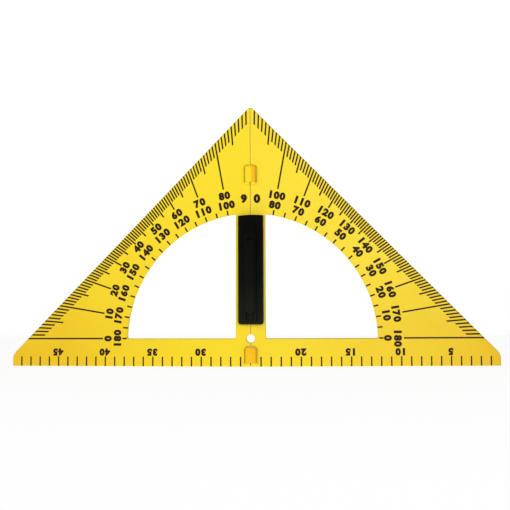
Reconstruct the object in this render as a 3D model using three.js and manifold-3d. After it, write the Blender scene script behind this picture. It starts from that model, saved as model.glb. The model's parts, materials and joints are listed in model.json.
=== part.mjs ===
// Folding blackboard set square with a built-in protractor.
//
// Two mirrored 45-degree leaves hang on two double-pin link hinges along the triangle's axis of
// symmetry, so they fold back to back. A handle with a sliding lock is screwed to the left leaf and
// reaches over the seam; its slide catches two keepers on the right leaf and holds the board flat.
//
// Millimetres, +Z up, X along the base, the printed front faces -Y. The board stands on its base
// edges like an opened book, each leaf swung back by REST_FOLD.
import * as THREE from "three";
import { mergeVertices } from "three/addons/utils/BufferGeometryUtils.js";
import Module from "manifold-3d";

// Leaf. Heights are measured from the protractor's 0-180 degree line, which is LINE_Z above the
// base edge; distances across are measured from the seam.
const LINE_Z = 28;
const HALF_LENGTH = 250;
const APEX_HEIGHT = 233.6; // where the two 45-degree edges would meet
const TIP_HALF = 1.6; // the tip is cut off this far from the seam
const END_ROUND = 4.5; // rounding where a 45-degree edge meets the short upright end
const THICKNESS = 4;
const EDGE = 0.8; // chamfer round every free edge
const SEAM_GAP = 0.06; // each leaf stops this far short of the seam
const SEAM_RELIEF = 1.5; // chamfer on the seam's rear edge, which swings towards the other leaf
const BAR_HALF = 15;
const ARC_RADIUS = 127;
const ARC_DROP = 2; // the window's arc is struck from a point below the 0-180 degree line
const CORNER = 2; // fillet in the window's corners
const SIGHT_RADIUS = 4.15; // hole at the protractor's centre

// Hinges
const PIN_X = 3.4;
const PIN_DEPTH = 2; // behind the front face
const PIN_RADIUS = 1;
const RUN = 0.08; // running clearance on the pins
const GAP = 0.3; // clearance between neighbouring pieces
const PAST = 1; // how far a cutting tool runs past what it cuts
const BOSS_HALF = 5.9;
const BOSS_RISE = 3; // how far the hinge bosses stand out of the front face
const BOSS_ROUND = 2.8;
const BOSS_CORNER = 3.4;
const NOTCH_CORNER = 0.2; // at the lower end of a link's notch
const LINK_SIDE = 0.5; // open groove round the front of a link
const LINK_BACK = 1.85; // radius of the link round each pin
const LINK_FACE = 0.5; // the wide front of a link starts this far behind the front face
const LINK_HEAD = 2.6; // the front of a link stands this far above its back, and covers the notch
const LINK_END = 0.12; // end play of a link above the leaves' lugs
// Each boss is the front of its link, down to linkFrom, and below that a pair of lugs on the leaves.
const BOSSES = [
  { name: "upper", low: 152.7, high: 173.6, linkFrom: 155.9, pinFrom: 126.2 },
  { name: "lower", low: -26.8, high: -7.9, linkFrom: -24.4, pinFrom: -27.4 },
];
const PIN_TOP = 1.2; // the pins reach this far above their boss
const REST_FOLD = 6; // degrees each leaf is swung back
const SEAM_Y = -8.849; // front face at the seam; the swung leaves reach back, and this centres the part

// Handle, measured across from its own middle and out of the front face of the left leaf
const HANDLE_X = 1.2; // how far its middle lies to the right of the seam
const HANDLE_HALF = 12.5;
const HANDLE_LOW = 13.7;
const HANDLE_HIGH = 122.5;
const HANDLE_CORNER = 3;
const HANDLE_ROUND = 0.9; // on the front edges of the tray and the rib
const WALL = 1.4;
const TRAY_TOP = 6.6;
const CEILING = 5.2;
// The rib narrows from its shoulder to its tip, and runs down to the tray top from `slope` upwards.
const RIB = { half: 5.9, top: 9.8, low: 16.7, shoulder: 102, slope: 104, tip: 118.8, tipHalf: 2 };
// Clearance for the right leaf's seam edge as it swings, measured from the seam
const SWING = { from: -1, to: 6.8, top: 2.2 };

// Lock slide and what it works with
const SLIDE_HALF = 4.3;
const SLIDE_LOW = 24;
const SLIDE_HIGH = 98;
const SLIDE_TOP = 11.2;
const SLIDE_ROUND = 0.7;
const TRAVEL = 8;
const STEM = { left: -3.8, right: 2.9, low: 2.1, foot: 36 }; // runs through the shell below the tongue
const FOOT_REACH = 4.45; // clear of the keepers when the board is part folded
const FOOT_TOP = 3.2;
const FOOT_LENGTH = 6;
const FOOT_HEIGHTS = [40, 84]; // underside of each foot with the slide up
const FLANGE_REACH = -6.2; // the slide's edge under the shell, which the spring presses on
const FLANGE_LOW = 3.6;
const KEEPER = { from: 3.6, post: 5.6, to: 7, armLow: 3.7, top: 4.8 };
const GUIDE = { from: -10.9, to: -6.5, low: 18, high: 118.8, top: 4.9 };
const SPRING = { length: 28, thick: 0.35, low: 3.8, high: 4.7, mid: 64, bow: 0.75, seat: 1.6 };

// Screws
const SCREW_X = -8.7;
const SCREW_HEIGHTS = [25, 69, 113];
const SCREW_RADIUS = 1.3;
const SCREW_HEAD = 2.4;
const SCREW_REACH = 6;
const SCREW_CLEAR = 0.15;
const SCREW_SUNK = 0.1; // the heads lie this far below the rear face

const ROUND = 24; // sides on a small round feature
const SCREW_SIDES = 16;
const ARC_STEPS = 20; // curves of the leaf outline

const wasm = await Module();
wasm.setup();

const plastic = (color, roughness) => new THREE.MeshStandardMaterial({ color, roughness, metalness: 0 });
const YELLOW = plastic(0xfbe02e, 0.35);
const AMBER = plastic(0xf2b61c, 0.35);
const BLACK = plastic(0x141412, 0.55);
const STEEL = new THREE.MeshStandardMaterial({ color: 0xb8bbc0, roughness: 0.3, metalness: 1 });

// ---- booleans ----------------------------------------------------------------------------------

function solid(geometry) {
  const bare = geometry.clone();
  bare.deleteAttribute("normal");
  bare.deleteAttribute("uv");
  const merged = mergeVertices(bare, 1e-4);
  return new wasm.Manifold(
    new wasm.Mesh({
      numProp: 3,
      vertProperties: merged.attributes.position.array,
      triVerts: new Uint32Array(merged.index.array),
    }),
  );
}

function geometryOf(body) {
  const { numProp, numVert, vertProperties, triVerts } = body.getMesh();
  const positions = new Float32Array(numVert * 3);
  for (let i = 0; i < numVert; i++) {
    positions.set(vertProperties.subarray(i * numProp, i * numProp + 3), i * 3);
  }
  return new THREE.BufferGeometry()
    .setAttribute("position", new THREE.BufferAttribute(positions, 3))
    .setIndex(new THREE.BufferAttribute(triVerts, 1));
}

const join = (first, ...others) => others.reduce((body, other) => body.add(other), first);
const cut = (first, ...tools) => tools.reduce((body, tool) => body.subtract(tool), first);

// ---- building blocks: x across, out = distance in front of the front face, z up ----------------

function block(x0, x1, out0, out1, z0, z1) {
  const box = new THREE.BoxGeometry(x1 - x0, out1 - out0, z1 - z0);
  return solid(box.translate((x0 + x1) / 2, -(out0 + out1) / 2, (z0 + z1) / 2));
}

// A shape's outline and holes as straight segments, without the repeated points where curves meet.
function straightened(shape, curveSegments) {
  const tidy = (points) =>
    points.filter((point, i) => point.distanceTo(points.at(i - 1)) > 1e-3);
  const { shape: outline, holes } = shape.extractPoints(curveSegments);
  const result = new THREE.Shape(tidy(outline));
  result.holes = holes.map((hole) => new THREE.Path(tidy(hole)));
  return result;
}

// A plan shape drawn in (x, z), standing from out0 to out1, with its edges rounded by `round`.
function slab(shape, out0, out1, round = 0, steps = 1, curveSegments = 8) {
  const geometry = new THREE.ExtrudeGeometry(straightened(shape, curveSegments), {
    depth: out1 - out0 - 2 * round,
    bevelEnabled: round > 0,
    bevelThickness: round,
    bevelSize: round,
    bevelOffset: -round,
    bevelSegments: steps,
  });
  return solid(geometry.rotateX(Math.PI / 2).translate(0, -out0 - round, 0));
}

// A section drawn in (x, out), running up from z0 to z1.
function column(shape, z0, z1, curveSegments = 12) {
  const geometry = new THREE.ExtrudeGeometry(straightened(shape, curveSegments), {
    depth: z1 - z0,
    bevelEnabled: false,
  });
  return solid(geometry.translate(0, 0, z0));
}

function rod(x, depth, radius, z0, z1, sides = ROUND) {
  const cylinder = new THREE.CylinderGeometry(radius, radius, z1 - z0, sides);
  return solid(cylinder.rotateX(Math.PI / 2).translate(x, depth, (z0 + z1) / 2));
}

// A turned profile of (radius, out) points about an axis that runs front to back.
function turned(x, z, profile, sides = SCREW_SIDES) {
  const points = profile.map(([radius, out]) => new THREE.Vector2(radius, -out));
  return solid(new THREE.LatheGeometry(points, sides).translate(x, 0, z));
}

function roundedPlan(half, z0, z1, topRadius, bottomRadius) {
  const plan = new THREE.Shape();
  plan.moveTo(-half + bottomRadius, z0);
  plan.lineTo(half - bottomRadius, z0);
  plan.absarc(half - bottomRadius, z0 + bottomRadius, bottomRadius, -Math.PI / 2, 0);
  plan.lineTo(half, z1 - topRadius);
  plan.absarc(half - topRadius, z1 - topRadius, topRadius, 0, Math.PI / 2);
  plan.lineTo(-half + topRadius, z1);
  plan.absarc(-half + topRadius, z1 - topRadius, topRadius, Math.PI / 2, Math.PI);
  plan.lineTo(-half, z0 + bottomRadius);
  plan.absarc(-half + bottomRadius, z0 + bottomRadius, bottomRadius, Math.PI, 1.5 * Math.PI);
  return plan;
}

function mirrored(geometry) {
  const flipped = geometry.clone().scale(-1, 1, 1);
  const index = flipped.index.array;
  for (let i = 0; i < index.length; i += 3) {
    [index[i + 1], index[i + 2]] = [index[i + 2], index[i + 1]];
  }
  return flipped;
}

// ---- leaves --------------------------------------------------------------------------------------

function leafOutline() {
  const inside = -3; // runs past the seam, where it is trimmed afterwards
  const tip = APEX_HEIGHT - TIP_HALF;
  const end = APEX_HEIGHT - HALF_LENGTH;
  const slant = END_ROUND * Math.SQRT1_2;
  const outline = new THREE.Shape();
  outline.moveTo(inside, -LINE_Z);
  outline.lineTo(HALF_LENGTH, -LINE_Z);
  outline.lineTo(HALF_LENGTH, end - END_ROUND);
  outline.quadraticCurveTo(HALF_LENGTH, end, HALF_LENGTH - slant, end + slant);
  outline.lineTo(TIP_HALF, tip);
  outline.lineTo(inside, tip);
  return outline;
}

function sightHole() {
  const wide = SIGHT_RADIUS + EDGE;
  return turned(0, 0, [
    [0, PAST],
    [wide, PAST],
    [wide, 0],
    [SIGHT_RADIUS, -EDGE],
    [SIGHT_RADIUS, EDGE - THICKNESS],
    [wide, -THICKNESS],
    [wide, -THICKNESS - PAST],
    [0, -THICKNESS - PAST],
  ], 2 * ROUND);
}

function windowOutline() {
  const arcAngle = (height) => Math.asin((height + ARC_DROP) / ARC_RADIUS);
  const low = arcAngle(CORNER);
  const high = Math.acos((BAR_HALF + CORNER) / ARC_RADIUS);
  const footX = Math.sqrt(ARC_RADIUS ** 2 - ARC_DROP ** 2);
  const headZ = Math.sqrt(ARC_RADIUS ** 2 - BAR_HALF ** 2) - ARC_DROP;
  const window = new THREE.Path();
  window.moveTo(BAR_HALF + CORNER, 0);
  window.lineTo(footX - CORNER, 0);
  window.quadraticCurveTo(footX, 0, ARC_RADIUS * Math.cos(low), CORNER);
  window.absarc(0, -ARC_DROP, ARC_RADIUS, low, high);
  window.quadraticCurveTo(BAR_HALF, headZ, BAR_HALF, headZ - CORNER);
  window.lineTo(BAR_HALF, CORNER);
  window.quadraticCurveTo(BAR_HALF, 0, BAR_HALF + CORNER, 0);
  return window;
}

// The raised pad that the lugs and the link of one hinge are cut from.
function bossPad(boss) {
  const plan = roundedPlan(BOSS_HALF, boss.low, boss.high, BOSS_CORNER, BOSS_CORNER);
  return slab(plan, -BOSS_ROUND, BOSS_RISE, BOSS_ROUND, 4, 5);
}

// Room for a link: a recess for its wide front and a notch right through the leaf. Near the seam
// the notch runs up under the link's head, because there the leaf swings forward as it folds.
function linkRoom(boss) {
  const low = boss.linkFrom - LINK_END;
  const front = roundedPlan(
    BOSS_HALF + LINK_SIDE, low, boss.high + LINK_SIDE, BOSS_CORNER + LINK_SIDE, NOTCH_CORNER,
  );
  const back = PIN_X + LINK_BACK + GAP;
  const notch = roundedPlan(back, low, boss.high + LINK_END, back - LINK_HEAD, NOTCH_CORNER);
  const recess = slab(front, -LINK_FACE - GAP, BOSS_RISE + PAST);
  return recess.add(slab(notch, -THICKNESS - PAST, 0));
}

// The right-hand leaf, lying flat; the left one is its mirror image.
function leafBody() {
  const outline = leafOutline();
  outline.holes.push(windowOutline());
  let body = slab(outline, -THICKNESS, 0, EDGE, 1, ARC_STEPS);
  for (const boss of BOSSES) {
    const bore = rod(PIN_X, PIN_DEPTH, PIN_RADIUS + RUN, boss.pinFrom - GAP, boss.high + PIN_TOP + GAP);
    body = cut(join(body, bossPad(boss)), linkRoom(boss), bore);
  }
  const relief = new THREE.Shape();
  relief.moveTo(0, THICKNESS + PAST);
  relief.lineTo(0, THICKNESS - SEAM_RELIEF - SEAM_GAP);
  relief.lineTo(SEAM_RELIEF + SEAM_GAP + PAST, THICKNESS + PAST);
  const overSeam = block(
    -BOSS_HALF - PAST, SEAM_GAP, -THICKNESS - PAST, BOSS_RISE + PAST, -LINE_Z - PAST, APEX_HEIGHT,
  );
  return cut(body, overSeam, column(relief, -LINE_Z - PAST, APEX_HEIGHT), sightHole());
}

function rightLeaf(body) {
  const keepers = FOOT_HEIGHTS.map((height) => {
    const low = height - TRAVEL;
    const post = block(KEEPER.post, KEEPER.to, -PAST, KEEPER.top, low, low + FOOT_LENGTH);
    const arm = block(KEEPER.from, KEEPER.to, KEEPER.armLow, KEEPER.top, low, low + FOOT_LENGTH);
    return post.add(arm).translate([HANDLE_X, 0, 0]);
  });
  return geometryOf(join(body, ...keepers));
}

function leftLeaf(body) {
  const sunk = SCREW_HEAD + 2 * SCREW_CLEAR;
  const clear = SCREW_RADIUS + SCREW_CLEAR;
  const holes = SCREW_HEIGHTS.map((height) =>
    turned(HANDLE_X + SCREW_X, height, [
      [0, PAST],
      [clear, PAST],
      [clear, -THICKNESS + sunk - clear],
      [sunk, -THICKNESS],
      [sunk, -THICKNESS - PAST],
      [0, -THICKNESS - PAST],
    ]),
  );
  return geometryOf(cut(solid(mirrored(geometryOf(body))), ...holes));
}

// ---- hinge links and pins ------------------------------------------------------------------------

function hingeLink(boss) {
  const low = boss.linkFrom;
  const high = boss.high - LINK_HEAD;
  const stadium = new THREE.Shape();
  stadium.moveTo(-PIN_X, PIN_DEPTH - LINK_BACK);
  stadium.lineTo(PIN_X, PIN_DEPTH - LINK_BACK);
  stadium.absarc(PIN_X, PIN_DEPTH, LINK_BACK, -Math.PI / 2, Math.PI / 2);
  stadium.lineTo(-PIN_X, PIN_DEPTH + LINK_BACK);
  stadium.absarc(-PIN_X, PIN_DEPTH, LINK_BACK, Math.PI / 2, 1.5 * Math.PI);
  const half = BOSS_HALF + PAST;
  const front = bossPad(boss).intersect(
    block(-half, half, -LINK_FACE, BOSS_RISE + PAST, low, boss.high + PAST),
  );
  const bores = [-1, 1].map((side) =>
    rod(side * PIN_X, PIN_DEPTH, PIN_RADIUS + RUN, low - PAST, high + PAST),
  );
  return geometryOf(cut(join(column(stadium, low, high, 8), front), ...bores));
}

function pin(boss, side) {
  return geometryOf(rod(side * PIN_X, PIN_DEPTH, PIN_RADIUS, boss.pinFrom, boss.high + PIN_TOP));
}

// ---- handle --------------------------------------------------------------------------------------

// Plan of the handle's tray; its top end is concentric with the window's arc.
function trayPlan(inset) {
  const half = HANDLE_HALF - inset;
  const low = HANDLE_LOW + inset;
  const radius = HANDLE_HIGH + ARC_DROP - inset;
  const side = Math.acos(half / radius);
  const corner = HANDLE_CORNER - inset / 2;
  const plan = new THREE.Shape();
  plan.moveTo(-half + corner, low);
  plan.lineTo(half - corner, low);
  plan.quadraticCurveTo(half, low, half, low + corner);
  plan.lineTo(half, radius * Math.sin(side) - ARC_DROP);
  plan.absarc(0, -ARC_DROP, radius, side, Math.PI - side);
  plan.lineTo(-half, low + corner);
  plan.quadraticCurveTo(-half, low, -half + corner, low);
  return plan;
}

// Plan of the rib that carries the slide; above the slide it narrows like a boat's bow.
function ribPlan() {
  const bulgeX = 0.85 * RIB.half;
  const bulgeZ = (RIB.shoulder + RIB.tip) / 2;
  const plan = new THREE.Shape();
  plan.moveTo(-RIB.half, RIB.low);
  plan.lineTo(RIB.half, RIB.low);
  plan.lineTo(RIB.half, RIB.shoulder);
  plan.quadraticCurveTo(bulgeX, bulgeZ, RIB.tipHalf, RIB.tip);
  plan.lineTo(-RIB.tipHalf, RIB.tip);
  plan.quadraticCurveTo(-bulgeX, bulgeZ, -RIB.half, RIB.shoulder);
  return plan;
}

// Outline of the slide's tongue, or of the slot it runs in, with a round lower end.
function tonguePlan(half, low, high) {
  const plan = new THREE.Shape();
  plan.moveTo(half, high);
  plan.lineTo(-half, high);
  plan.lineTo(-half, low + half);
  plan.absarc(0, low + half, half, Math.PI, 2 * Math.PI);
  return plan;
}

// What is cut off the rib as it runs down to the tray top.
function ribSlope() {
  const width = 2 * (RIB.half + PAST);
  const section = new THREE.Shape();
  section.moveTo(RIB.slope, RIB.top);
  section.lineTo(HANDLE_HIGH + PAST, TRAY_TOP - PAST);
  section.lineTo(HANDLE_HIGH + PAST, RIB.top + PAST);
  section.lineTo(RIB.slope, RIB.top + PAST);
  const wedge = new THREE.ExtrudeGeometry(section, { depth: width, bevelEnabled: false });
  wedge.applyMatrix4(new THREE.Matrix4().makeBasis(
    new THREE.Vector3(0, 0, 1), new THREE.Vector3(0, -1, 0), new THREE.Vector3(1, 0, 0),
  ));
  return solid(wedge.translate(-width / 2, 0, 0));
}

function handleShell() {
  const tray = slab(trayPlan(0), GAP, TRAY_TOP, HANDLE_ROUND, 2);
  const rib = cut(slab(ribPlan(), CEILING, RIB.top, HANDLE_ROUND, 2), ribSlope());
  const hollow = slab(trayPlan(WALL), -PAST, CEILING);
  const groove = slab(
    tonguePlan(SLIDE_HALF + GAP, SLIDE_LOW - TRAVEL - GAP, SLIDE_HIGH + GAP), TRAY_TOP, RIB.top + PAST,
  );
  const slot = block(
    STEM.left - GAP, STEM.right + GAP, 0, TRAY_TOP + PAST, STEM.foot - TRAVEL - GAP, SLIDE_HIGH,
  );
  const swing = block(
    SWING.from - HANDLE_X, SWING.to - HANDLE_X, 0, SWING.top, HANDLE_LOW - PAST, HANDLE_HIGH + PAST,
  );
  const pilots = SCREW_HEIGHTS.map((height) =>
    turned(SCREW_X, height, [
      [0, SCREW_REACH + SCREW_CLEAR],
      [SCREW_RADIUS + SCREW_CLEAR, SCREW_REACH + SCREW_CLEAR],
      [SCREW_RADIUS + SCREW_CLEAR, 0],
      [0, 0],
    ]),
  );
  return geometryOf(cut(join(tray, rib), hollow, groove, slot, swing, ...pilots));
}

function slideGuide() {
  const rail = block(GUIDE.from, GUIDE.to, GAP, GUIDE.top, GUIDE.low, GUIDE.high);
  const seat = block(
    GUIDE.to - SPRING.seat, GUIDE.to + PAST, SPRING.low - GAP, GUIDE.top + PAST,
    SPRING.mid - SPRING.length / 2 - GAP, SPRING.mid + SPRING.length / 2 + GAP,
  );
  const holes = SCREW_HEIGHTS.map((height) =>
    turned(SCREW_X, height, [
      [0, GUIDE.top + PAST],
      [SCREW_RADIUS + SCREW_CLEAR, GUIDE.top + PAST],
      [SCREW_RADIUS + SCREW_CLEAR, 0],
      [0, 0],
    ]),
  );
  return geometryOf(cut(rail, seat, ...holes));
}

function lockSlide() {
  const outline = tonguePlan(SLIDE_HALF, SLIDE_LOW, SLIDE_HIGH);
  const tongue = slab(outline, TRAY_TOP + GAP, SLIDE_TOP, SLIDE_ROUND, 2, 10);
  const head = SLIDE_HIGH - GAP;
  const stem = block(STEM.left, STEM.right, STEM.low, RIB.top, STEM.foot, head);
  const flange = block(FLANGE_REACH, STEM.right, FLANGE_LOW, GUIDE.top, STEM.foot, head);
  const feet = FOOT_HEIGHTS.map((height) =>
    block(STEM.left, FOOT_REACH, STEM.low, FOOT_TOP, height, height + FOOT_LENGTH),
  );
  return geometryOf(join(tongue, stem, flange, ...feet));
}

// A bowed strip that presses on the slide's flange and keeps the slide where it is put.
function lockSpring() {
  const half = SPRING.length / 2;
  const foot = GUIDE.to - SPRING.seat + GAP;
  const control = foot + 2 * SPRING.bow;
  const strip = new THREE.Shape();
  strip.moveTo(foot, SPRING.mid - half);
  strip.quadraticCurveTo(control, SPRING.mid, foot, SPRING.mid + half);
  strip.lineTo(foot + SPRING.thick, SPRING.mid + half);
  strip.quadraticCurveTo(control + SPRING.thick, SPRING.mid, foot + SPRING.thick, SPRING.mid - half);
  return geometryOf(slab(strip, SPRING.low, SPRING.high, 0, 1, 16));
}

function screw(height) {
  const neck = -THICKNESS + SCREW_HEAD - SCREW_RADIUS;
  return geometryOf(turned(SCREW_X, height, [
    [0, SCREW_REACH],
    [SCREW_RADIUS, SCREW_REACH],
    [SCREW_RADIUS, neck],
    [SCREW_HEAD, -THICKNESS + SCREW_SUNK],
    [0, -THICKNESS + SCREW_SUNK],
  ]));
}

// ---- assembly --------------------------------------------------------------------------------------

const root = new THREE.Group();
root.position.set(0, SEAM_Y, LINE_Z);

function mesh(parent, name, geometry, material) {
  const piece = new THREE.Mesh(geometry, material);
  piece.name = name;
  parent.add(piece);
}

// A group that turns about the pin line on one side of the seam.
function foldedSide(side) {
  const angle = THREE.MathUtils.degToRad(side * REST_FOLD);
  const group = new THREE.Group();
  const axis = new THREE.Vector3(side * PIN_X, PIN_DEPTH, 0);
  group.rotation.z = angle;
  group.position.copy(axis).sub(axis.clone().applyAxisAngle(new THREE.Vector3(0, 0, 1), angle));
  root.add(group);
  return group;
}

const leftSide = foldedSide(-1);
const rightSide = foldedSide(1);
const handle = new THREE.Group();
handle.position.x = HANDLE_X;
leftSide.add(handle);
const body = leafBody();

mesh(leftSide, "left_leaf", leftLeaf(body), YELLOW);
mesh(rightSide, "right_leaf", rightLeaf(body), YELLOW);
for (const boss of BOSSES) {
  mesh(root, boss.name + "_hinge_link", hingeLink(boss), AMBER);
  mesh(leftSide, boss.name + "_left_pin", pin(boss, -1), STEEL);
  mesh(rightSide, boss.name + "_right_pin", pin(boss, 1), STEEL);
}
mesh(handle, "handle_shell", handleShell(), BLACK);
mesh(handle, "slide_guide", slideGuide(), BLACK);
mesh(handle, "lock_slide", lockSlide(), BLACK);
mesh(handle, "lock_spring", lockSpring(), STEEL);
SCREW_HEIGHTS.forEach((height, i) => mesh(handle, "handle_screw_" + (i + 1), screw(height), STEEL));

export default root;
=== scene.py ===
"""Looks of a folding blackboard set square: moulded yellow leaves with printed scales, amber hinge
links on steel pins, and a black handle with its lock slide.

The printed face and the softened edges are in millimetres. Materials, camera, stage and lamps are
in the scene's own metres."""

import json
import math

import bmesh
import bpy
from mathutils import Matrix, Vector


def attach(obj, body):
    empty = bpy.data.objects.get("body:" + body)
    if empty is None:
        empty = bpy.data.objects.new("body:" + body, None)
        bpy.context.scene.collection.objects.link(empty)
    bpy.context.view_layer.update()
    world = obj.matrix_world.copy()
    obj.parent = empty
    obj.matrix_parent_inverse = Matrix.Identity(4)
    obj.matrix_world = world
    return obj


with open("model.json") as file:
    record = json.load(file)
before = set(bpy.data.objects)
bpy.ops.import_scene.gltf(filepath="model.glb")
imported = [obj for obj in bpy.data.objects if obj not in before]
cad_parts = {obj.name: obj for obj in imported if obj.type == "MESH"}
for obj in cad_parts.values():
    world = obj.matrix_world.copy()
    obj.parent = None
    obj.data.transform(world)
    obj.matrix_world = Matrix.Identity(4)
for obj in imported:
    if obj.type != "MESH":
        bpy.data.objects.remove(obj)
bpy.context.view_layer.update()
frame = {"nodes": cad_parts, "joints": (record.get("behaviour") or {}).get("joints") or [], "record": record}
MM = 0.001

# ---- dimensions of the printed face, which follow the CAD leaves ------------------------------

PIN_DEPTH = 2.0  # pins lie this far behind the front face
LINE_Z = 28.0  # height of the 0-180 degree line above the base edge
HALF_LENGTH = 250.0
SLANT = 233.6  # distance across plus height above the line, anywhere on the slanted edge
ARC_RADIUS = 127.0
ARC_DROP = 2.0
EDGE = 0.8  # chamfer round the edges, which the ticks run over
INK = 0.05  # half the thickness of the printed ink
INK_MARGIN = 0.12  # the ink stops this far short of the outermost edge
LINE_MARGIN = 0.17  # and the 0-180 degree line this far, measured across
RIM = INK_MARGIN - EDGE  # where the ink ends on the chamfer, as a distance out of the face

PRINT_SQUASH = 0.962  # height of the printed degree scale, as a share of a true protractor's
TICK_WIDTH = 1.55
SHORT_TICK = 10.7  # depth of the 1 degree ticks, square to the slanted edge
MIDDLE_TICK = 15.3  # and of the 5 degree ticks
LONG_TICK_TO = 153.8  # radius that the 10 degree ticks run in to
LINE_FROM = 152.5
INNER_TICK = 5.0
RULE_TICK = 9.8
RULE_TICK_WIDTH = 1.4

DIGIT_HEIGHT = 8.0
DIGIT_PITCH = 6.0
DIGIT_SQUEEZE = 1.06
OUTER_ROW = 148.0
INNER_ROW = 138.0
# The rows pinch in at the 0 and 90 degree ends and bow outwards between them, more so lower down,
# and near the base the numbers sit a little to the left.
ROW_PINCH = 1.1
ROW_BOW = 2.3
ROW_LEAN = 0.6
NUMBER_LEFT = 0.4
TOP_DIGIT = 9.2
TOP_DIGIT_X = 6.4
TOP_DIGIT_Z = 139.6
RULE_DIGIT_HEIGHT = 7.4
RULE_DIGIT_PITCH = 5.8
RULE_ROW = -13.7
RULE_LEFT = 0.6  # the rule's numbers sit this far to the left of their ticks
BOLD = 0.044  # how far the digit outlines are fattened, as a share of the font size
SPREAD = 0.03  # and how far the ink spreads beyond them

# Softening of the CAD nodes' edges
WELD = 0.002  # points closer than this are one point
FLAT_ANGLE = 0.5  # in degrees: faces that turn less than this are one face
SOFT_EDGE = 0.18  # rounding of each sharp edge
SHARP_ANGLE = 28  # in degrees: an edge that turns more than this is sharp


# ---- frames -----------------------------------------------------------------------------------


def joint(name):
    return next(j for j in frame["joints"] if j["name"] == name)


def leaf_frame(side):
    """Takes (across from the seam, depth behind the front face, height) of a flat leaf to the
    object's frame at rest, where the leaf is swung back about its pins. side is 1 on the right, -1
    on the left, and distances across are negative on the left."""
    pins = joint("right_hinge")
    pin_x, pin_y = abs(pins["pos_m"][0]), pins["pos_m"][1]
    fold = math.radians(-pins["range_deg"][0]) * side
    to_pin = Matrix.Translation((-side * pin_x, -PIN_DEPTH * MM, 0))
    back = Matrix.Translation((side * pin_x, pin_y, 0))
    return back @ Matrix.Rotation(fold, 4, "Z") @ to_pin @ Matrix.Scale(MM, 4)


LEAVES = {"left": -1, "right": 1}


# ---- materials --------------------------------------------------------------------------------


class Shader:
    """A Principled material with a few shorthands for its node tree."""

    def __init__(self, name, color, roughness, **sockets):
        self.material = bpy.data.materials.new(name)
        self.material.use_nodes = True
        self.tree = self.material.node_tree
        self.bsdf = self.tree.nodes["Principled BSDF"]
        self.bsdf.inputs["Base Color"].default_value = (*color, 1)
        self.bsdf.inputs["Roughness"].default_value = roughness
        for socket, value in sockets.items():
            self.bsdf.inputs[socket.replace("_", " ")].default_value = value
        self.coords = self.tree.nodes.new("ShaderNodeTexCoord")

    def node(self, kind, **values):
        made = self.tree.nodes.new(kind)
        for key, value in values.items():
            if hasattr(made, key):
                setattr(made, key, value)
            else:
                made.inputs[key.replace("_", " ")].default_value = value
        return made

    def link(self, a, b):
        self.tree.links.new(a, b)

    def place(self):
        """Where a point lies on the object, in its own metres, as sockets X, Y and Z."""
        split = self.node("ShaderNodeSeparateXYZ")
        self.link(self.coords.outputs["Object"], split.inputs["Vector"])
        return split.outputs

    def noise(self, scale, detail=3, stretch=None, roughness=0.5):
        """Noise in the object's own metres, optionally stretched along an axis."""
        made = self.node("ShaderNodeTexNoise", Scale=scale, Detail=detail, Roughness=roughness)
        if stretch:
            mapping = self.node("ShaderNodeMapping", Scale=stretch)
            self.link(self.coords.outputs["Object"], mapping.inputs["Vector"])
            self.link(mapping.outputs["Vector"], made.inputs["Vector"])
        else:
            self.link(self.coords.outputs["Object"], made.inputs["Vector"])
        return made.outputs["Fac"]

    def ramp(self, value, *stops):
        made = self.node("ShaderNodeValToRGB")
        ramp = made.color_ramp
        while len(ramp.elements) < len(stops):
            ramp.elements.new(0.5)
        for element, (position, color) in zip(ramp.elements, stops):
            element.position = position
            element.color = (*color, 1) if isinstance(color, tuple) else (color, color, color, 1)
        self.link(value, made.inputs["Fac"])
        return made.outputs["Color"]

    def mix(self, factor, a, b, blend="MIX"):
        made = self.node("ShaderNodeMix", data_type="RGBA", blend_type=blend)
        for socket, value in (("Factor", factor), ("A", a), ("B", b)):
            target = next(s for s in made.inputs if s.name == socket and s.enabled)
            if isinstance(value, bpy.types.NodeSocket):
                self.link(value, target)
            else:
                target.default_value = (*value, 1) if isinstance(value, tuple) else value
        return next(s for s in made.outputs if s.enabled)

    def math(self, operation, a, b=0.0, clamp=False):
        made = self.node("ShaderNodeMath", operation=operation, use_clamp=clamp)
        for target, value in zip(made.inputs, (a, b)):
            if isinstance(value, bpy.types.NodeSocket):
                self.link(value, target)
            else:
                target.default_value = value
        return made.outputs["Value"]

    def bump(self, height, strength, distance):
        made = self.node("ShaderNodeBump", Strength=strength, Distance=distance)
        self.link(height, made.inputs["Height"])
        if self.bsdf.inputs["Normal"].links:
            self.link(self.bsdf.inputs["Normal"].links[0].from_socket, made.inputs["Normal"])
        self.link(made.outputs["Normal"], self.bsdf.inputs["Normal"])

    def color(self, socket):
        self.link(socket, self.bsdf.inputs["Base Color"])

    def roughness(self, socket):
        self.link(socket, self.bsdf.inputs["Roughness"])


LEMON = (0.91, 0.69, 0.016)
GOLD = (0.74, 0.45, 0.001)
# colour of the painted shade on surfaces that face up or right
EDGE_SHADE = (0.42, 0.32, 0.006)
AMBER = (0.86, 0.42, 0.004)
AMBER_PALE = (0.92, 0.52, 0.006)
# colour of the painted shade on the links' rounded flanks
AMBER_FLANK_SHADE = (0.50, 0.27, 0.004)
GOLD_HEIGHT = 0.2  # in metres: below this the yellow turns golden
UP_AND_RIGHT = (0.7, 0, 0.7)
BETWEEN_LINKS = 0.1  # in metres: a height between the two hinge links
STAGE_GLOW = 0.79


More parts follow.
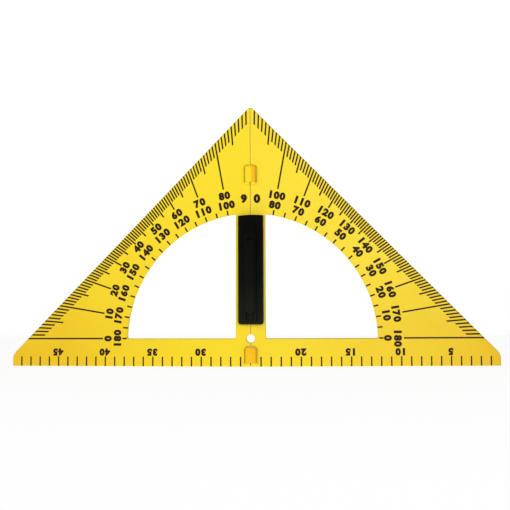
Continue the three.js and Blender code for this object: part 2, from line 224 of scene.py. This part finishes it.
def yellow_plastic():
    """Semi-gloss moulded plastic, lemon at the tip and turning golden towards the base corners,
    with painted shade where a surface faces up or right, as on the chamfers there, and with the
    slight clouding of the moulding and fine handling scratches."""
    s = Shader("yellow_plastic", LEMON, 0.34, Specular_IOR_Level=0.2)
    place = s.place()
    outward = s.math("DIVIDE", s.math("ABSOLUTE", place["X"]), HALF_LENGTH * MM)
    low = s.math("SUBTRACT", 1.0, s.math("DIVIDE", place["Z"], GOLD_HEIGHT), clamp=True)
    corner = s.math("MULTIPLY", s.math("POWER", outward, 1.6), low, clamp=True)
    cloud = s.noise(14, 2)
    golden = s.math("ADD", s.math("MULTIPLY", corner, 0.8), s.math("MULTIPLY", low, 0.13))
    golden = s.math("MULTIPLY", golden, s.math("ADD", cloud, 0.5), clamp=True)
    # painted shade: surfaces facing up or right are darkened, as if the light came from the lower left
    facing = s.node("ShaderNodeVectorMath", operation="DOT_PRODUCT")
    s.link(s.coords.outputs["Normal"], facing.inputs[0])
    facing.inputs[1].default_value = UP_AND_RIGHT
    shaded = s.ramp(facing.outputs["Value"], (0.42, 0.0), (0.5, 0.55))
    s.color(s.mix(shaded, s.mix(golden, LEMON, GOLD), EDGE_SHADE))
    streaks = s.noise(260, 6, stretch=(1, 1, 0.08), roughness=0.7)
    scratch = s.ramp(streaks, (0.62, 0.0), (0.74, 1.0))
    polish = s.ramp(s.noise(60, 4), (0.3, 0.29), (0.7, 0.40))
    s.roughness(s.math("ADD", polish, s.math("MULTIPLY", scratch, 0.08)))
    s.bump(s.noise(900, 2), 0.05, 0.0001)
    s.bump(scratch, 0.04, 0.00005)
    return s.material


def amber_plastic():
    """The hinge links: a deeper plastic than the leaves', with a painted highlight in lemon towards
    the left, most of all on the upper link, and painted shade on the rounded flanks."""
    s = Shader("amber_plastic", AMBER, 0.36, Specular_IOR_Level=0.15)
    place = s.place()
    centimetres = s.math("MULTIPLY", place["X"], 100)
    # painted highlight: lemon towards the left of each link, strongest on the upper link
    left = s.ramp(s.math("ADD", centimetres, 0.5), (0.52, 1.0), (0.68, 0.0))
    # painted shade on both rounded flanks
    flank_shade = s.ramp(s.math("ABSOLUTE", centimetres), (0.42, 0.0), (0.58, 1.0))
    upper = s.math("GREATER_THAN", place["Z"], BETWEEN_LINKS)
    highlight_share = s.math("ADD", s.math("MULTIPLY", upper, 0.75), 0.2)
    clouded = s.mix(s.noise(160, 3), AMBER, AMBER_PALE)
    lit = s.mix(s.math("MULTIPLY", left, highlight_share), clouded, LEMON)
    s.color(s.mix(s.math("MULTIPLY", flank_shade, 0.7), lit, AMBER_FLANK_SHADE))
    s.roughness(s.ramp(s.noise(300, 3), (0.3, 0.32), (0.7, 0.42)))
    s.bump(s.noise(1500, 2), 0.06, 0.0001)
    return s.material


def black_plastic():
    """Black plastic with a fine spark-eroded grain, made greyer towards its lower end by painted light."""
    s = Shader("black_plastic", (0.003, 0.003, 0.0022), 0.5, Specular_IOR_Level=0.04)
    # painted light: the lower end is made greyer, as if lit from below
    painted_light_low = s.ramp(s.place()["Z"], (0.050, 0.6), (0.085, 0.12), (0.14, 0.0))
    grained_black = s.mix(s.noise(70, 4), (0.0006, 0.0006, 0.0004), (0.0024, 0.0026, 0.0018))
    s.color(s.mix(painted_light_low, grained_black, (0.017, 0.017, 0.011)))
    s.roughness(s.ramp(s.noise(45, 4), (0.32, 0.42), (0.68, 0.58)))
    s.bump(s.noise(2600, 3), 0.25, 0.00012)
    return s.material


def print_ink():
    """Screen-printed brown-black ink, slightly uneven in its density."""
    s = Shader("print_ink", (0.022, 0.010, 0.002), 0.5, Specular_IOR_Level=0.1)
    s.color(s.mix(s.noise(420, 4), (0.012, 0.005, 0.0007), (0.034, 0.016, 0.003)))
    s.roughness(s.ramp(s.noise(800, 2), (0.3, 0.36), (0.7, 0.5)))
    return s.material


def steel():
    """Drawn wire and zinc-plated screws: bright, with marks along the length."""
    s = Shader("steel", (0.60, 0.61, 0.63), 0.3, Metallic=1.0)
    drawn = s.noise(900, 4, stretch=(1, 1, 0.1))
    s.color(s.mix(drawn, (0.50, 0.51, 0.53), (0.70, 0.71, 0.72)))
    s.roughness(s.ramp(drawn, (0.3, 0.22), (0.7, 0.4)))
    s.bump(drawn, 0.1, 0.00003)
    return s.material


def stage_paint():
    """Grey paint that glows, so that it looks white and the object's shadow on it stays faint."""
    s = Shader("stage_paint", (0.4, 0.4, 0.4), 0.9, Specular_IOR_Level=0.0)
    s.bsdf.inputs["Emission Color"].default_value = (1, 1, 1, 1)
    s.bsdf.inputs["Emission Strength"].default_value = STAGE_GLOW
    return s.material


MATERIALS = {
    "yellow_plastic": yellow_plastic(),
    "amber_plastic": amber_plastic(),
    "black_plastic": black_plastic(),
    "print_ink": print_ink(),
    "steel": steel(),
}


def finish_piece(name, mesh, slot, body):
    """Gives a new mesh its material, material slot and body."""
    piece = bpy.data.objects.new(name, mesh)
    bpy.context.scene.collection.objects.link(piece)
    mesh.materials.append(MATERIALS[slot])
    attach(piece, body)


# ---- CAD nodes: materials and softened edges --------------------------------------------------


def dress_cad_nodes():
    slots = {row["node"]: row["material_slot"] for row in frame["record"]["subparts"]}
    for name, node in frame["nodes"].items():
        node.data.materials.clear()
        node.data.materials.append(MATERIALS[slots[name]])
        weld = node.modifiers.new("weld", "WELD")
        weld.merge_threshold = WELD * MM
        flats = node.modifiers.new("flats", "DECIMATE")
        flats.decimate_type = "DISSOLVE"
        flats.angle_limit = math.radians(FLAT_ANGLE)
        bevel = node.modifiers.new("bevel", "BEVEL")
        bevel.width = SOFT_EDGE * MM
        bevel.segments = 2
        bevel.limit_method = "ANGLE"
        bevel.angle_limit = math.radians(SHARP_ANGLE)


# ---- printing ---------------------------------------------------------------------------------


class Print:
    """Ink on one leaf, gathered into one mesh. Points are (across, height above the line), both
    positive away from the seam and upwards; side mirrors them on the left leaf."""

    def __init__(self, side):
        self.side = side
        self.bm = bmesh.new()

    def place(self, across, height, out):
        return Vector((self.side * across, -out, height + LINE_Z))

    def strip(self, one, other):
        """A strip of ink between two matching lists of (across, height, out)."""
        rings = []
        for a, b in zip(one, other):
            ring = [
                self.place(a[0], a[1], a[2] - INK), self.place(a[0], a[1], a[2] + INK),
                self.place(b[0], b[1], b[2] + INK), self.place(b[0], b[1], b[2] - INK),
            ]
            rings.append([self.bm.verts.new(p) for p in ring])
        for first, second in zip(rings, rings[1:]):
            for i in range(4):
                j = (i + 1) % 4
                self.bm.faces.new((first[i], first[j], second[j], second[i]))
        self.bm.faces.new(rings[0])
        self.bm.faces.new(list(reversed(rings[-1])))

    def digit(self, outline, centre, up, height):
        """One digit from its prism, with its centre and its upward direction on the leaf."""
        right = Vector((up[1] * self.side, -up[0] * self.side))
        made = {}
        for index, (x, y, z) in enumerate(outline.points):
            x, y = x * height * DIGIT_SQUEEZE, y * height
            across = centre[0] + right[0] * x + up[0] * y
            level = centre[1] + right[1] * x + up[1] * y
            made[index] = self.bm.verts.new(self.place(across, level, z * 2 * INK - INK))
        for face in outline.faces:
            self.bm.faces.new([made[i] for i in face])

    def number(self, text, centre, up, height=DIGIT_HEIGHT, pitch=DIGIT_PITCH):
        right = Vector((up[1] * self.side, -up[0] * self.side))
        for index, character in enumerate(text):
            shift = (index - (len(text) - 1) / 2) * pitch
            spot = (centre[0] + right[0] * shift, centre[1] + right[1] * shift)
            self.digit(DIGITS[character], spot, up, height)

    def finish(self, name, body, matrix):
        bmesh.ops.recalc_face_normals(self.bm, faces=self.bm.faces)
        mesh = bpy.data.meshes.new(name)
        self.bm.to_mesh(mesh)
        self.bm.free()
        mesh.transform(matrix)
        finish_piece(name, mesh, "print_ink", body)


class DigitOutline:
    """A closed prism of one digit, 1 high and centred, running from 0 to 1 in z."""

    def __init__(self, character):
        curve = bpy.data.curves.new("digit", "FONT")
        curve.body = character
        curve.size = 1.0
        curve.offset = BOLD
        curve.bevel_depth = SPREAD
        curve.bevel_resolution = 0
        curve.resolution_u = 5
        curve.extrude = 0.5
        source = bpy.data.objects.new("digit", curve)
        bpy.context.scene.collection.objects.link(source)
        ready = source.evaluated_get(bpy.context.evaluated_depsgraph_get())
        mesh = bpy.data.meshes.new_from_object(ready)
        bm = bmesh.new()
        bm.from_mesh(mesh)
        bmesh.ops.remove_doubles(bm, verts=bm.verts, dist=1e-4)
        low = Vector(min(v.co[i] for v in bm.verts) for i in range(3))
        high = Vector(max(v.co[i] for v in bm.verts) for i in range(3))
        tall = high.y - low.y
        middle_x, middle_y = (low.x + high.x) / 2, (low.y + high.y) / 2
        bm.verts.index_update()
        self.points = [
            ((v.co.x - middle_x) / tall, (v.co.y - middle_y) / tall, v.co.z + 0.5)
            for v in bm.verts
        ]
        self.faces = [[v.index for v in face.verts] for face in bm.faces]
        bm.free()
        bpy.data.objects.remove(source)
        bpy.data.curves.remove(curve)
        bpy.data.meshes.remove(mesh)


DIGITS = {character: DigitOutline(character) for character in "0123456789"}


def ray_to_slant(angle, offset, line):
    """Where a ray from the protractor's centre, moved sideways by offset, meets the line on which
    distance across plus height is a constant."""
    c, s = math.cos(angle), math.sin(angle)
    start = (-s * offset, c * offset)
    reach = (line - sum(start)) / (c + s)
    return start[0] + c * reach, start[1] + s * reach


def ray_to_circle(angle, offset, radius):
    """The same for a circle about the centre of the window's arc."""
    c, s = math.cos(angle), math.sin(angle)
    x, y = -s * offset, c * offset + ARC_DROP
    along = -(x * c + y * s) + math.sqrt((x * c + y * s) ** 2 - (x * x + y * y - radius * radius))
    return -s * offset + c * along, c * offset + s * along


def printed_angle(degree):
    angle = math.radians(degree)
    return math.atan2(PRINT_SQUASH * math.sin(angle), math.cos(angle))


def degree_ticks(ink):
    """Ticks for each degree on the slanted edge, longer each 5 and 10 degrees."""
    root2 = math.sqrt(2)
    for degree in range(1, 90):
        angle = printed_angle(degree)
        sides = []
        for offset in (-TICK_WIDTH / 2, TICK_WIDTH / 2):
            edge = ray_to_slant(angle, offset, SLANT - INK_MARGIN * root2)
            crease = ray_to_slant(angle, offset, SLANT - EDGE * root2)
            if degree % 10 == 0:
                inner = ray_to_circle(angle, offset, LONG_TICK_TO)
            else:
                depth = MIDDLE_TICK if degree % 5 == 0 else SHORT_TICK
                inner = ray_to_slant(angle, offset, SLANT - depth * root2)
            sides.append([(*edge, RIM), (*crease, 0), (*inner, 0)])
        ink.strip(*sides)


def zero_line(ink):
    """The 0-180 degree line, from the numbers out over the slanted edge."""
    sides = []
    for offset in (-TICK_WIDTH / 2, TICK_WIDTH / 2):
        edge = (SLANT - LINE_MARGIN - offset, offset, RIM)
        crease = (SLANT - EDGE * math.sqrt(2) - offset, offset, 0)
        sides.append([edge, crease, (LINE_FROM, offset, 0)])
    ink.strip(*sides)


def arc_ticks(ink):
    """Short ticks each 5 degrees on the edge of the window, up to the handle."""
    for degree in range(0, 85, 5):
        angle = printed_angle(degree)
        sides = []
        for offset in (-TICK_WIDTH / 2, TICK_WIDTH / 2):
            edge = ray_to_circle(angle, offset, ARC_RADIUS + INK_MARGIN)
            crease = ray_to_circle(angle, offset, ARC_RADIUS + EDGE)
            inner = ray_to_circle(angle, offset, ARC_RADIUS + INNER_TICK)
            sides.append([(*edge, RIM), (*crease, 0), (*inner, 0)])
        ink.strip(*sides)


def rule_ticks(ink):
    """Centimetre ticks along the base edge."""
    for centimetre in range(1, 25):
        across = centimetre * 10
        sides = []
        for x in (across - RULE_TICK_WIDTH / 2, across + RULE_TICK_WIDTH / 2):
            foot = (x, INK_MARGIN - LINE_Z, RIM)
            sides.append([foot, (x, EDGE - LINE_Z, 0), (x, RULE_TICK - LINE_Z, 0)])
        ink.strip(*sides)


def degree_numbers(ink):
    """Two rows round the window: the outer row counts up clockwise from the left, the inner row
    counts down."""
    for tens in range(0, 9):
        angle = printed_angle(tens * 10)
        up = Vector((math.cos(angle), math.sin(angle)))
        swell = ROW_BOW * math.sin(2 * angle) + ROW_LEAN * math.sin(4 * angle) - ROW_PINCH
        shift = Vector((-ink.side * NUMBER_LEFT * math.cos(angle), 0)) + swell * up
        small, large = str(tens * 10), str(180 - tens * 10)
        outer, inner = (small, large) if ink.side < 0 else (large, small)
        for text, row in ((outer, OUTER_ROW), (inner, INNER_ROW)):
            ink.number(text, Vector(ray_to_circle(angle, 0, row)) + shift, up)
    ink.number("9" if ink.side < 0 else "0", (TOP_DIGIT_X, TOP_DIGIT_Z), Vector((0, 1)), TOP_DIGIT)


def rule_numbers(ink):
    """Each 5 cm, upside down, counted from the right-hand end."""
    for step in range(1, 5):
        spot = (step * 50 - ink.side * RULE_LEFT, RULE_ROW)
        text = str(25 - ink.side * step * 5)
        ink.number(text, spot, Vector((0, -1)), RULE_DIGIT_HEIGHT, RULE_DIGIT_PITCH)


def print_leaves():
    for name, side in LEAVES.items():
        matrix = leaf_frame(side)
        scale = Print(side)
        degree_ticks(scale)
        zero_line(scale)
        arc_ticks(scale)
        rule_ticks(scale)
        scale.finish(name + "_scale_print", name + "_side", matrix)
        numbers = Print(side)
        degree_numbers(numbers)
        rule_numbers(numbers)
        numbers.finish(name + "_number_print", name + "_side", matrix)


# ---- camera, stage and light ------------------------------------------------------------------


SENSOR_WIDTH, LENS = 36, 66  # in millimetres
EYE = (0.0687, -0.9364, 0.0394)
TURN, TILT, ROLL = -0.0691, 0.0767, -0.0031  # in radians, from a level look along +Y
WORLD_LIGHT = 0.15
LAMPS = {  # place, target, size and power in watts
    "key": ((-1.7, -1.3, 0.3), (0, 0, 0.12), 0.5, 5.8),
    "fill": ((0.8, -1.9, 0.4), (0, 0, 0.14), 0.8, 7.2),
}


def camera():
    """An eye just above the base and to the right of the seam, looking slightly up and left."""
    data = bpy.data.cameras.new("camera")
    data.sensor_width = SENSOR_WIDTH
    data.lens = LENS
    data.clip_start, data.clip_end = 0.01, 50
    eye = bpy.data.objects.new("camera", data)
    bpy.context.scene.collection.objects.link(eye)
    level = math.cos(TILT)
    ahead = Vector((math.sin(TURN) * level, math.cos(TURN) * level, math.sin(TILT)))
    right = Vector((math.cos(TURN), -math.sin(TURN), 0))
    up = right.cross(ahead)
    right, up = (
        right * math.cos(ROLL) + up * math.sin(ROLL),
        up * math.cos(ROLL) - right * math.sin(ROLL),
    )
    facing = Matrix((right, up, -ahead)).transposed().to_4x4()
    eye.matrix_world = Matrix.Translation(EYE) @ facing
    bpy.context.scene.camera = eye


def stage():
    """A round pale floor, in metres, that curves up into a wall all round."""
    floor_radius, cove, top = 6.0, 2.0, 5.0
    cove_steps, turns = 12, 64
    profile = []
    for i in range(cove_steps + 1):
        a = math.radians(90 * i / cove_steps)
        profile.append((floor_radius + cove * math.sin(a), cove - cove * math.cos(a)))
    profile.append((floor_radius + cove, top))
    bm = bmesh.new()
    circle = [2 * math.pi * i / turns for i in range(turns)]
    rings = [
        [bm.verts.new((radius * math.cos(a), radius * math.sin(a), height)) for a in circle]
        for radius, height in profile
    ]
    bm.faces.new(rings[0])
    for lower, upper in zip(rings, rings[1:]):
        for i in range(turns):
            j = (i + 1) % turns
            bm.faces.new((lower[i], lower[j], upper[j], upper[i]))
    mesh = bpy.data.meshes.new("studio_floor")
    bm.to_mesh(mesh)
    bm.free()
    floor = bpy.data.objects.new("studio_floor", mesh)
    bpy.context.scene.collection.objects.link(floor)
    mesh.materials.append(stage_paint())
    for face in mesh.polygons:
        face.use_smooth = len(face.vertices) == 4


def area_light(name, place, target, size, power):
    data = bpy.data.lights.new(name, "AREA")
    data.shape = "DISK"
    data.size = size
    data.energy = power
    lamp = bpy.data.objects.new(name, data)
    bpy.context.scene.collection.objects.link(lamp)
    lamp.location = place
    aim = Vector(target) - Vector(place)
    lamp.rotation_mode = "QUATERNION"
    lamp.rotation_quaternion = aim.to_track_quat("-Z", "Y")


def lights():
    world = bpy.data.worlds.new("studio")
    bpy.context.scene.world = world
    world.use_nodes = True
    background = world.node_tree.nodes["Background"]
    background.inputs["Color"].default_value = (1, 1, 1, 1)
    background.inputs["Strength"].default_value = WORLD_LIGHT
    for name, lamp in LAMPS.items():
        area_light(name, *lamp)


camera()
stage()
lights()
dress_cad_nodes()
print_leaves()
bpy.context.scene.view_settings.view_transform = "Standard"
bpy.context.scene.view_settings.look = "None"
